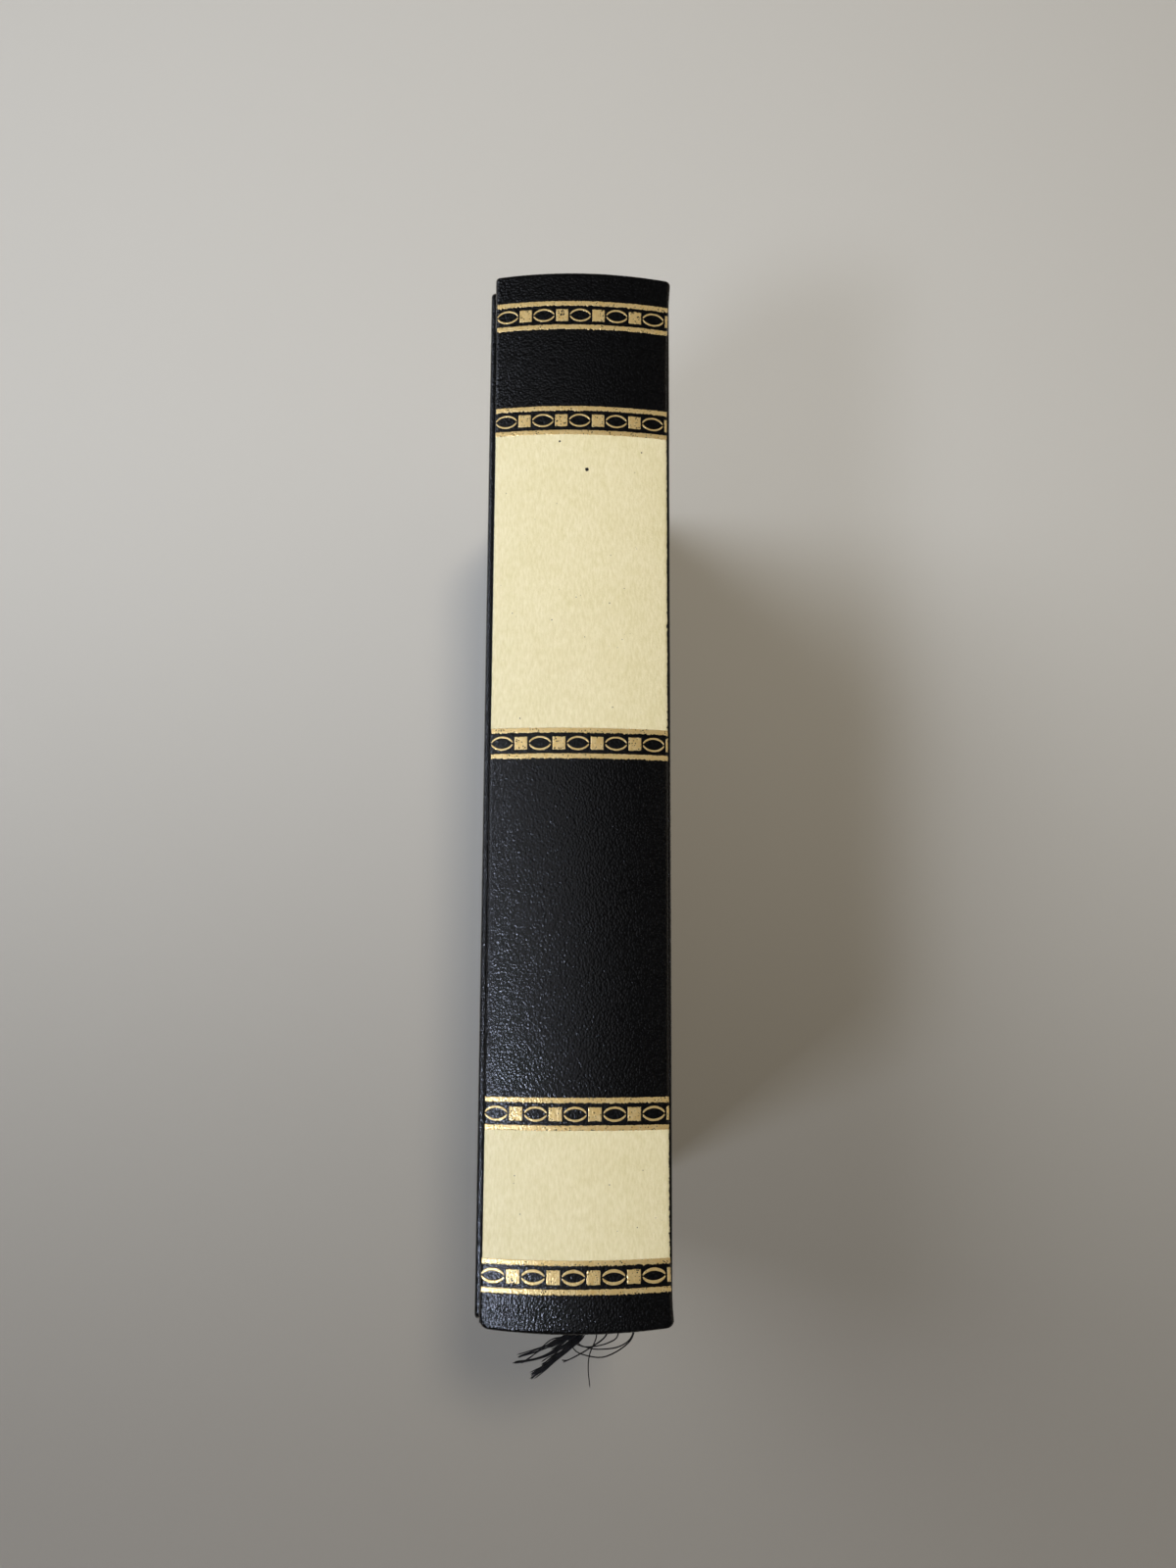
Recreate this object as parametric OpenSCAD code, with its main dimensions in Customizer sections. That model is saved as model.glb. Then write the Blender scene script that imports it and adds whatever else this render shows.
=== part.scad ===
// Case-bound book with a rounded back, standing on the fore edges of its two boards.
// X runs through the thickness (the front board is on +X), Y from tail to head, Z from the
// fore edge up to the back. The origin is on the floor, under the middle of the book.

/* [Pages] */
// Height of the page block, head to tail
page_h = 219; // [120:1:320]
// Width of a page, fore edge to back
page_w = 142; // [90:1:220]
// Thickness of the page block
pages_t = 33; // [20:1:45]
// Radius of the rounded back of the page block
back_r = 77.5; // [60:0.5:120]
// How far each shoulder stands out past the side of the block
shoulder_out = 1; // [0.6:0.1:1.4]
// Height of the bent shoulder
shoulder_rise = 1.5; // [1:0.1:2.4]

/* [Boards] */
// Thickness of a cover board
board_t = 2.5; // [1.5:0.1:4]
// Overhang of the boards past the pages at head, tail and fore edge
square = 3; // [2:0.5:6]
// Flat width of the groove between a board and its shoulder
groove_w = 2; // [1:0.1:5]
// Radius of the covered board edges
edge_r = 0.6; // [0.2:0.1:1]
// Radius of the cover's corners, seen on its face
corner_r = 1.2; // [0.4:0.1:3]

/* [Leatherette] */
// Thickness of the leatherette
cloth_t = 0.4; // [0.25:0.05:0.8]
// Width turned in over the board edges
turn_in = 15; // [8:1:25]
// Width turned in at the ends of the back
back_turn_in = 12; // [6:1:20]
// Reach of each soft bend in the joints
bend_reach = 0.7; // [0.3:0.1:0.8]

/* [Back] */
// How far the back card reaches past each shoulder
card_over = 1.3; // [0.8:0.1:2]
// Thickness of the back card
card_t = 0.8; // [0.4:0.1:1.5]
// Radius of the covered long edges of the back
back_edge_r = 0.3; // [0.1:0.05:0.4]
// Radius of the covered ends of the back
back_end_r = 0.6; // [0.2:0.1:0.8]
// Radius of the corners of the back, seen from above
back_corner_r = 1.4; // [0.4:0.1:3]
// Free space between the back card and the lining
hollow_t = 0.8; // [0.7:0.05:1.2]
// Thickness of the gauze glued to the block
gauze_t = 0.25; // [0.15:0.05:0.4]
// Distance of the gauze from head and tail of the block
gauze_inset = 10; // [9:1:20]
// Thickness of the paper lining over the gauze
lining_t = 0.25; // [0.15:0.05:0.4]
// Distance of the lining from head and tail of the block
lining_inset = 2; // [1:0.5:8]
// Distance of gauze and lining from the shoulder tips
lining_side = 0.1; // [0:0.05:0.5]

/* [Endpapers] */
// Thickness of the endpaper
paper_t = 0.15; // [0.1:0.05:0.25]
// Gap between a closed cover and its flyleaf
close_gap = 0.2; // [0.1:0.05:0.4]

/* [Head and tail bands] */
// Radius of the band's bead
bead_r = 0.8; // [0.5:0.1:1]
// Length of the band's tape down the back
tape_l = 8; // [4:1:9]

/* [Ribbon marker] */
// Width of the ribbon
ribbon_w = 6; // [4:0.5:10]
// Thickness of the ribbon
ribbon_t = 0.25; // [0.15:0.05:0.3]
// Side clearance of the ribbon between the pages
ribbon_gap = 0.1; // [0.05:0.05:0.3]
// Distance of the ribbon from the middle page
ribbon_x = 2; // [-8:0.5:8]
// Depth of the ribbon's middle below the crown of the block
ribbon_depth = 9; // [6:0.5:30]
// Length of the ribbon glued along the back
ribbon_tab_l = 20; // [10:1:40]

/* [Stamping] */
// Distance of the stamped area from the long edges of the back
stamp_inset = 0.25; // [0.1:0.05:4]
// Thickness of the foil
foil_t = 0.1; // [0.05:0.05:0.2]
// Height of a gilt band over both of its rules
band_h = 6.5; // [5.5:0.1:8]
// Thickness of a rule
rule_t = 1; // [0.5:0.1:1.4]
// Distance from one oval to the next along a band
motif_pitch = 8.07; // [7.8:0.01:12]
// Length of an oval
oval_w = 4.6; // [3:0.1:4.8]
// Height of an oval
oval_h = 3; // [2:0.1:3.4]
// Opening between the tips of an oval's two crescents
tip_gap = 0.3; // [0.1:0.05:0.6]
// Side of a square between two ovals
stud_w = 2.7; // [1.5:0.1:2.9]

/* [Hidden] */

// Top of each gilt band below the head, as shares of the height of the case
band_top_shares = [0.030, 0.139, 0.458, 0.798, 0.939];
// Greatest thickness of the crescents in each band, as shares of the height of an oval
crescent_shares = [0.17, 0.17, 0.18, 0.21, 0.27];

back_fn = 360;
small_fn = 48;
motif_fn = 180;
bend_steps = 5;
// Overrun of every cut
over = 1;

// Levels in X, from the side of the block out to the face of the cover
block_x = pages_t / 2;
fly_x = block_x + paper_t;
paste_x = fly_x + close_gap;
cover_in_x = paste_x + paper_t;
board_x = cover_in_x + cloth_t;
board_out_x = board_x + board_t;
cover_out_x = board_out_x + cloth_t;

// Levels in Z and the centre of every arc of the back
hollow_h = back_r - sqrt(back_r * back_r - block_x * block_x);
crown_z = square + hollow_h + page_w;
arc_z = crown_z - back_r;
corner = [block_x + shoulder_out, arc_z + sqrt(pow(back_r, 2) - pow(block_x + shoulder_out, 2))];
shoulder = [block_x, corner.y - shoulder_rise];

// Radii of the layers of the back
gauze_r = back_r + gauze_t;
lining_r = gauze_r + lining_t;
card_in_r = lining_r + hollow_t;
card_out_r = card_in_r + card_t;
cloth_r = card_out_r + cloth_t;
foil_r = cloth_r + foil_t;

// Shoulder line: along has length 1 up the slope, out has length 1 away from the block
slope = norm(corner - shoulder);
along = (corner - shoulder) / slope;
out = [along.y, -along.x];
miter = (1 - along.y) / along.x;

// Widths across the back, from the shoulders out
card_w = 2 * (corner.x + card_over);
spine_half = card_w / 2 + cloth_t;
stamp_w = 2 * (spine_half - stamp_inset);
near_z = shoulder.y - (cover_in_x + cloth_t - block_x) * miter - groove_w;
side_z = arc_z + sqrt(pow(card_in_r, 2) - pow(spine_half, 2));
case_h = page_h + 2 * square;
block_half_w = corner.x - lining_side;

// Points along a soft bend at q, on the way from p to r
function bend(p, q, r) = let(
    a = q + (p - q) * min(bend_reach / norm(p - q), 1 / 2),
    b = q + (r - q) * min(bend_reach / norm(r - q), 1 / 2)
) [for (i = [0:bend_steps]) let(u = i / bend_steps)
    pow(1 - u, 2) * a + 2 * u * (1 - u) * q + u * u * b];

// Turn of the joint at the foot of the shoulder, a distance d outside the block
function foot(d) = [block_x + d, shoulder.y - d * miter];
// Point at the tip of the shoulder, a distance d outside it
function tip(d) = corner + out * d;
// Line a distance d outside the block, from height z up to the tip of the shoulder
function side_line(d, z) = concat([[block_x + d, z]], bend([block_x + d, z], foot(d), tip(d)), [tip(d)]);
// Line of the leatherette, a distance d outside the block: from a board up the groove, over the
// folded endpaper at the shoulder and on to x at the edge of the back
function joint_line(d, x) = concat(
    [[block_x + d, near_z]],
    bend([block_x + d, near_z], foot(d), tip(d)),
    [tip(d) + along * paper_t, [x, side_z]]
);
function reversed(list) = [for (i = [len(list) - 1:-1:0]) list[i]];

// Extrudes an outline drawn in X and Z along the height of the book
module along_y(length) {
    rotate([90, 0, 0]) linear_extrude(height = length, center = true) children();
}

// Curved layer of the back between two radii
module back_layer(r_in, r_out, half_w, length) {
    intersection() {
        translate([0, 0, arc_z]) rotate([90, 0, 0]) difference() {
            cylinder(r = r_out, h = length, center = true, $fn = back_fn);
            cylinder(r = r_in, h = length + 2 * over, center = true, $fn = back_fn);
        }
        translate([-half_w, -length / 2 - over, arc_z])
            cube([2 * half_w, length + 2 * over, r_out + over]);
    }
}

module box(low, high) {
    translate(low) cube(high - low);
}

module text_block() {
    color("#e7dcc3") difference() {
        along_y(page_h) difference() {
            intersection() {
                translate([0, arc_z]) circle(r = back_r, $fn = back_fn);
                polygon(concat(
                    side_line(0, square),
                    [[corner.x, crown_z], [-corner.x, crown_z]],
                    [for (p = reversed(side_line(0, square))) [-p.x, p.y]]
                ));
            }
            translate([0, square + hollow_h - back_r]) circle(r = back_r, $fn = back_fn);
        }
        ribbon_slot();
    }
}

// Space between two pages where the ribbon lies
module ribbon_slot() {
    half = ribbon_w / 2 + ribbon_gap;
    box(
        [ribbon_x - ribbon_t / 2 - ribbon_gap, -page_h / 2 - over, crown_z - ribbon_depth - half],
        [ribbon_x + ribbon_t / 2 + ribbon_gap, page_h / 2 + over, crown_z - ribbon_depth + half]
    );
}

module flyleaf() {
    color("#efe7d2") along_y(page_h)
        polygon(concat(side_line(0, square), reversed(side_line(paper_t, square))));
}

// The endpaper where it crosses the joint and folds back over the shoulder
module endpaper_fold() {
    inner = paper_t + close_gap;
    color("#efe7d2") along_y(page_h) polygon(concat(
        side_line(inner, near_z),
        [tip(0), tip(0) + along * paper_t, tip(inner + paper_t) + along * paper_t],
        reversed(side_line(inner + paper_t, near_z))
    ));
}

module spine_gauze() {
    color("#e8e6dc") back_layer(back_r, gauze_r, block_half_w, page_h - 2 * gauze_inset);
}

module spine_lining() {
    color("#a98a63") back_layer(gauze_r, lining_r, block_half_w, page_h - 2 * lining_inset);
}

// Rolled band at one end of the back: a bead on the pages and a tape glued down the back
module end_band() {
    turn = asin(block_x / back_r);
    color("#2b2b30") {
        translate([0, page_h / 2 + bead_r, arc_z]) rotate([90, 0, 0]) rotate(90 - turn)
            rotate_extrude(angle = 2 * turn, $fn = back_fn)
                translate([gauze_r - bead_r, 0]) circle(r = bead_r, $fn = small_fn);
        translate([0, (page_h + bead_r - tape_l) / 2, 0])
            back_layer(back_r, gauze_r, back_r * sin(turn), tape_l + bead_r);
    }
}

// Glued along the back, folded over the head band and run down between two pages to the tail
module ribbon_marker() {
    top_y = page_h / 2 + 2 * bead_r;
    low_z = crown_z - ribbon_depth - ribbon_w / 2;
    color("#1d1c1f") {
        intersection() {
            back_layer(lining_r, lining_r + ribbon_t, block_half_w, page_h + 2 * square);
            box(
                [ribbon_x - ribbon_w / 2, page_h / 2 - ribbon_tab_l, low_z],
                [ribbon_x + ribbon_w / 2, top_y + ribbon_t, crown_z + lining_r]
            );
        }
        intersection() {
            along_y(case_h) translate([0, arc_z]) circle(r = lining_r + ribbon_t, $fn = back_fn);
            box(
                [ribbon_x - ribbon_w / 2, top_y, low_z],
                [ribbon_x + ribbon_w / 2, top_y + ribbon_t, crown_z + lining_r]
            );
        }
        box(
            [ribbon_x - ribbon_t / 2, -page_h / 2 - square, low_z],
            [ribbon_x + ribbon_t / 2, top_y + ribbon_t, low_z + ribbon_w]
        );
    }
}

module spine_card() {
    color("#8f877a") back_layer(card_in_r, card_out_r, card_w / 2, case_h - 2 * cloth_t);
}

// Outer form of the covered back: a turned profile with round ends, cut to the width of the back
module back_body() {
    y = case_h / 2;
    intersection() {
        translate([0, 0, arc_z]) rotate([90, 0, 0]) rotate_extrude($fn = back_fn) union() {
            translate([card_in_r - cloth_t, -y]) square([card_t + 2 * cloth_t - back_end_r, 2 * y]);
            translate([card_in_r - cloth_t, back_end_r - y])
                square([card_t + 2 * cloth_t, 2 * (y - back_end_r)]);
            for (s = [-1, 1]) translate([cloth_r - back_end_r, s * (y - back_end_r)])
                circle(r = back_end_r, $fn = small_fn);
        }
        translate([0, 0, arc_z]) linear_extrude(height = cloth_r + over)
            round_rect([-spine_half, -y], [spine_half, y], back_corner_r);
    }
}

// What rounding takes off the long edge of the back: a wedge round the arc's centre less a rod
module long_edge_cut() {
    at = [spine_half - back_edge_r, sqrt(pow(cloth_r - back_edge_r, 2) - pow(spine_half - back_edge_r, 2))];
    reach = at / norm(at) * (back_edge_r + over);
    translate([0, 0, arc_z]) along_y(case_h + over) translate(at) difference() {
        polygon([[0, 0], reach, [back_edge_r + over, reach.y], [back_edge_r + over, 0]]);
        circle(r = back_edge_r, $fn = small_fn);
    }
}

// Leatherette round the back card: over its face and edges, and turned in at both ends
module spine_cover() {
    color("#17181b") difference() {
        back_body();
        long_edge_cut();
        back_side() long_edge_cut();
        back_layer(card_in_r, card_out_r, card_w / 2, case_h - 2 * cloth_t);
        back_layer(
            card_in_r - cloth_t - over, card_in_r, spine_half + over, case_h - 2 * back_turn_in
        );
        for (s = [-1, 1]) translate([s * (card_w + cloth_t) / 2, 0, 0]) back_edge_cut();
    }
}

// Frees the last of the turned-in leatherette beside the card, where the joints begin
module back_edge_cut() {
    translate([0, 0, arc_z]) rotate([90, 0, 0]) linear_extrude(height = case_h + over, center = true)
        square([cloth_t + over, 2 * (side_z - arc_z)], center = true);
}

module joint() {
    d = cover_in_x - block_x;
    color("#17181b") along_y(case_h) polygon(concat(
        joint_line(d, card_w / 2), reversed(joint_line(d + cloth_t, spine_half))
    ));
}

// Upper crescent of an oval: one arc minus a flatter one through the same two tips
module crescent(t) {
    top = (oval_h - tip_gap) / 2;
    low = top - t;
    r_out = (pow(oval_w / 2, 2) + top * top) / (2 * top);
    r_in = (pow(oval_w / 2, 2) + low * low) / (2 * low);
    translate([0, tip_gap / 2]) difference() {
        translate([0, top - r_out]) circle(r = r_out, $fn = motif_fn);
        translate([0, low - r_in]) circle(r = r_in, $fn = motif_fn);
    }
}

// Two rules with a row of ovals and squares between them, drawn from the band's middle
module band_pattern(t) {
    intersection() {
        square([stamp_w, band_h], center = true);
        union() {
            for (s = [-1, 1]) translate([0, s * (band_h - rule_t) / 2])
                square([stamp_w, rule_t], center = true);
            for (i = [0:floor(stamp_w / motif_pitch)])
                translate([i * motif_pitch - stamp_w / 2, 0]) {
                    translate([oval_w / 2, 0]) for (m = [0, 1]) mirror([0, m]) crescent(t);
                    translate([(oval_w + motif_pitch) / 2, 0]) square(stud_w, center = true);
                }
        }
    }
}

// Wraps a flat pattern as foil on the curved back
module foil() {
    intersection() {
        back_layer(cloth_r, foil_r, stamp_w / 2, case_h);
        translate([0, 0, arc_z]) linear_extrude(height = foil_r + over) children();
    }
}

module gilt_band(i) {
    color("#d3b36d") foil()
        translate([0, case_h * (1 / 2 - band_top_shares[i]) - band_h / 2])
            band_pattern(crescent_shares[i] * oval_h);
}

// Plain foil field between two bands
module panel(above) {
    top = case_h * (1 / 2 - band_top_shares[above]) - band_h;
    bottom = case_h * (1 / 2 - band_top_shares[above + 1]);
    color("#ece7cb") foil()
        translate([-stamp_w / 2, bottom]) square([stamp_w, top - bottom]);
}

module cover_board() {
    y = case_h / 2 - cloth_t;
    color("#8f877a") box([board_x, -y, cloth_t], [board_out_x, y, near_z - cloth_t]);
}

// Rectangle from low to high with round corners
module round_rect(low, high, r) {
    size = high - low;
    translate(low + [r, 0]) square([size.x - 2 * r, size.y]);
    translate(low + [0, r]) square([size.x, size.y - 2 * r]);
    for (x = [low.x + r, high.x - r], y = [low.y + r, high.y - r])
        translate([x, y]) circle(r = r, $fn = small_fn);
}

// Covered board: rounded along every edge, apart from the one where the joint begins
module cover_body() {
    y = case_h / 2;
    intersection() {
        along_y(case_h) union() {
            round_rect([cover_in_x, 0], [cover_out_x, near_z], edge_r);
            translate([cover_in_x, near_z - edge_r]) square(edge_r);
        }
        linear_extrude(height = near_z) round_rect([cover_in_x, -y], [cover_out_x, y], edge_r);
        rotate([90, 0, 90]) linear_extrude(height = cover_out_x)
            round_rect([-y, 0], [y, near_z], corner_r);
    }
}

// Part of the board's inner face that the turned-in leatherette leaves bare
module bare_face(inset, x_low, x_high) {
    y = case_h / 2 - turn_in - inset;
    box([x_low, -y, turn_in + inset], [x_high, y, near_z - cloth_t - inset]);
}

// Leatherette over a board, turned in at head, tail and fore edge
module cover_cloth() {
    y = case_h / 2 - cloth_t;
    color("#17181b") difference() {
        cover_body();
        box([board_x, -y, cloth_t], [board_out_x, y, near_z - cloth_t]);
        bare_face(0, cover_in_x - over, board_x);
    }
}

// Endpaper pasted to the board: over the turned-in edges and down onto the board between them
module pastedown() {
    color("#efe7d2") difference() {
        union() {
            box([paste_x, -page_h / 2, square], [cover_in_x, page_h / 2, near_z]);
            bare_face(0, paste_x, board_x);
        }
        bare_face(paper_t, paste_x - over, board_x - paper_t);
    }
}

module back_side() {
    mirror([1, 0, 0]) children();
}

text_block();
flyleaf();  // front_flyleaf
back_side() flyleaf();  // back_flyleaf
spine_gauze();
spine_lining();
end_band();  // head_band
mirror([0, 1, 0]) end_band();  // tail_band
ribbon_marker();
spine_card();
spine_cover();
joint();  // front_joint
back_side() joint();  // back_joint
endpaper_fold();  // front_endpaper_fold
back_side() endpaper_fold();  // back_endpaper_fold
gilt_band(0);  // gilt_band_1
gilt_band(1);  // gilt_band_2
gilt_band(2);  // gilt_band_3
gilt_band(3);  // gilt_band_4
gilt_band(4);  // gilt_band_5
panel(1);  // upper_panel
panel(3);  // lower_panel
cover_board();  // front_board
cover_cloth();  // front_cloth
pastedown();  // front_pastedown
back_side() cover_board();  // back_board
back_side() cover_cloth();  // back_cloth
back_side() pastedown();  // back_pastedown
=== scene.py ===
# A thick hardcover book with a rounded back, standing on its fore edges and seen from above.
# Lengths are in millimetres here and become metres when a mesh, lamp or camera is made.
import math

import bpy
import numpy as np
from mathutils import Euler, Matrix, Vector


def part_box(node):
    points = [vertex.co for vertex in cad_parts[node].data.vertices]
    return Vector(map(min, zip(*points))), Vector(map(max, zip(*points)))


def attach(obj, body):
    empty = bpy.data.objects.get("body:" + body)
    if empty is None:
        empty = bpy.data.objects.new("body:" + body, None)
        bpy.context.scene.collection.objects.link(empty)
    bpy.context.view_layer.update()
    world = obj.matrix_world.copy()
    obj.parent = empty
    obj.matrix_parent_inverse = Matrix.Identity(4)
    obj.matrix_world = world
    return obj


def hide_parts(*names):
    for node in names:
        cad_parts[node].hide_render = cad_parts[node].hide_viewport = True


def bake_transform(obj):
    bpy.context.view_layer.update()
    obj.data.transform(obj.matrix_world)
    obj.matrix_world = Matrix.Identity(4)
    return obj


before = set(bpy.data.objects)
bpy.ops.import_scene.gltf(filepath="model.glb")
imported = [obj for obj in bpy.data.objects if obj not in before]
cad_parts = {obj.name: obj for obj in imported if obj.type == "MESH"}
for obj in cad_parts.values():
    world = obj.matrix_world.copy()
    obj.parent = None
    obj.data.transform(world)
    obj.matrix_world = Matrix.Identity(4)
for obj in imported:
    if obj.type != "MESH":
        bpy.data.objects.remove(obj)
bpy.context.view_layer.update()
mm = 0.001
dice = np.random.default_rng(11)


def boxMm(node):
    low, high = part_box(node)
    return np.array(low) / mm, np.array(high) / mm


# Sizes that the pieces share, read from the frame where a box gives them
spineLow, spineHigh = boxMm("spine_cover")
coverLow, coverHigh = boxMm("front_cloth")
blockLow, blockHigh = boxMm("text_block")
stampX = boxMm("upper_panel")[1][0]
book = {
    "backRadius": 80.0,  # leatherette over the rounded back
    "blockRadius": 77.5,  # rounded back of the pages
    "clothT": 0.4,  # leatherette
    "cardT": 0.8,
    "paperT": 0.15,
    "shoulderRise": 1.5,  # the outer pages bend out by shoulderOut over this height
    "shoulderOut": 1.0,
}
arcZ = spineHigh[2] - book["backRadius"]
caseHalf = spineHigh[1]
pageHalf = blockHigh[1]
blockX = blockHigh[0] - book["shoulderOut"]


# Camera, as the photograph was taken: over the tail half, looking almost straight down
camera = {
    "place": (-5.0, -37.1, 404.9),
    "turn": (7.69, -1.585, 0.303),
    "lens": 28.125,
    "sensor": 36.0,
}


def makeCamera():
    data = bpy.data.cameras.new("camera")
    data.lens = camera["lens"]
    data.sensor_width = camera["sensor"]
    data.clip_start = 0.01
    data.clip_end = 20.0
    obj = bpy.data.objects.new("camera", data)
    obj.location = [value * mm for value in camera["place"]]
    obj.rotation_euler = Euler([math.radians(angle) for angle in camera["turn"]])
    bpy.context.collection.objects.link(obj)
    bpy.context.scene.camera = obj


makeCamera()
print("camera placed")


def hexColour(text):
    # sRGB hex to linear, with full alpha
    part = np.array([int(text[i:i + 2], 16) for i in (1, 3, 5)]) / 255
    linear = np.where(part <= 0.04045, part / 12.92, ((part + 0.055) / 1.055) ** 2.4)
    return (*linear.tolist(), 1.0)


def addNode(tree, kind, settings):
    # A key is a socket's name or number, or else a property. A node or socket as a socket's value
    # is linked, and a text there is a hex colour.
    node = tree.nodes.new("ShaderNode" + kind)
    for key, value in settings.items():
        if not isinstance(key, int) and key not in node.inputs:
            setattr(node, key, value)
            continue
        if isinstance(value, str):
            value = hexColour(value)
        if isinstance(value, bpy.types.Node):
            value = value.outputs[0]
        if isinstance(value, bpy.types.NodeSocket):
            tree.links.new(value, node.inputs[key])
        else:
            node.inputs[key].default_value = value
    return node


def newMaterial(name):
    material = bpy.data.materials.new(name)
    material.use_nodes = True
    tree = material.node_tree
    coords = addNode(tree, "TexCoord", {}).outputs["Object"]
    return material, tree, tree.nodes["Principled BSDF"], coords


def finishShader(tree, shader, links, values):
    for socket, source in links.items():
        tree.links.new(source.outputs[0], shader.inputs[socket])
    for socket, value in values.items():
        shader.inputs[socket].default_value = value


grain = {
    "worm": 0.4,  # length of one wrinkle of the embossed grain
    "pebble": 0.46,  # width of one pebble
    "squeeze": 0.85,  # wrinkles are longer along the book than across it
    "lean": -20,  # and lean by this many degrees
    "depth": 0.09,
}


def leatherGrain(tree, coords):
    # Embossed grain: wrinkles from a warped noise, cut up into pebbles by soft cells
    leaning = addNode(tree, "Mapping", {
        "Vector": coords,
        "Rotation": (0, 0, math.radians(grain["lean"])),
        "Scale": (1, grain["squeeze"], 1),
    })
    worms = addNode(tree, "TexNoise", {
        "Vector": leaning, "Scale": 1 / (grain["worm"] * mm), "Detail": 2.0, "Distortion": 0.5,
    })
    pebbles = addNode(tree, "TexVoronoi", {
        "Vector": leaning, "feature": "SMOOTH_F1", "Scale": 1 / (grain["pebble"] * mm),
        "Smoothness": 0.5,
    })
    return addNode(tree, "Math", {"operation": "SUBTRACT", 0: worms, 1: pebbles})


def embossedLeatherette():
    # Coated fabric, pressed with a fine leather grain: near black, with a sparkling broken gloss
    material, tree, shader, coords = newMaterial("embossedLeatherette")
    height = leatherGrain(tree, coords)
    patches = addNode(tree, "TexNoise", {"Vector": coords, "Scale": 1 / (9 * mm), "Detail": 3.0})
    gloss = addNode(tree, "MapRange", {"Value": patches, "To Min": 0.15, "To Max": 0.24})
    tone = addNode(tree, "MapRange", {
        "Value": height, "From Min": -0.4, "From Max": 0.4, "To Min": 0.0, "To Max": 1.0,
    })
    colour = addNode(tree, "MixRGB", {"Fac": tone, "Color1": "#020203", "Color2": "#0a0b0d"})
    bump = addNode(tree, "Bump", {
        "Height": height, "Strength": 1.0, "Distance": grain["depth"] * mm,
    })
    finishShader(
        tree, shader,
        {"Base Color": colour, "Roughness": gloss, "Normal": bump},
        {"IOR": 1.5},
    )
    return material


def foilMisses(tree, coords, cellMm, shareFrom, shareTo, amount):
    # Small spots that the foil missed, one in each of some of the cells, more of them in patches
    cells = addNode(tree, "TexVoronoi", {
        "Vector": coords, "Scale": 1 / (cellMm * mm), "Randomness": 1.0,
    })
    patches = addNode(tree, "TexNoise", {
        "Vector": coords, "Scale": 1 / (3 * cellMm * mm), "Detail": 2.0,
    })
    reach = addNode(tree, "MapRange", {
        "Value": patches, "From Min": 0.42, "From Max": 0.68,
        "To Min": shareFrom, "To Max": shareTo,
    })
    if amount is not None:
        reach = addNode(tree, "Math", {"operation": "MULTIPLY", 0: reach, 1: amount})
    gap = addNode(tree, "Math", {"operation": "SUBTRACT", 0: reach, 1: cells.outputs["Distance"]})
    return addNode(tree, "MapRange", {"Value": gap, "From Min": -0.04, "From Max": 0.04})


def giltFoil():
    # Hot-stamped metal foil under a clear lacquer, which scatters about half of the light: nearly
    # white where it faces the window, tan elsewhere, with misses in the grain
    material, tree, shader, coords = newMaterial("giltFoil")
    height = leatherGrain(tree, coords)
    wear = addNode(tree, "Attribute", {"attribute_name": "foilWear"}).outputs["Fac"]
    misses = foilMisses(tree, coords, 0.48, 0.14, 0.45, wear)
    rub = addNode(tree, "TexNoise", {"Vector": coords, "Scale": 1 / (1.1 * mm), "Detail": 3.0})
    gold = addNode(tree, "MixRGB", {"Fac": rub, "Color1": "#f3cd7c", "Color2": "#ffeab4"})
    colour = addNode(tree, "MixRGB", {"Fac": misses, "Color1": gold, "Color2": "#0b0806"})
    metal = addNode(tree, "MapRange", {"Value": misses, "To Min": 0.55, "To Max": 0.0})
    gloss = addNode(tree, "MapRange", {"Value": rub, "To Min": 0.24, "To Max": 0.42})
    bump = addNode(tree, "Bump", {
        "Height": height, "Strength": 0.7, "Distance": grain["depth"] * mm,
    })
    finishShader(
        tree, shader,
        {"Base Color": colour, "Metallic": metal, "Roughness": gloss, "Normal": bump}, {},
    )
    return material


# Worn spots in the upper field: x, y and radius
panelChips = [(1.3, 66.7, 0.42), (-4.7, 73.1, 0.24), (13.3, 71.2, 0.16)]


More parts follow.
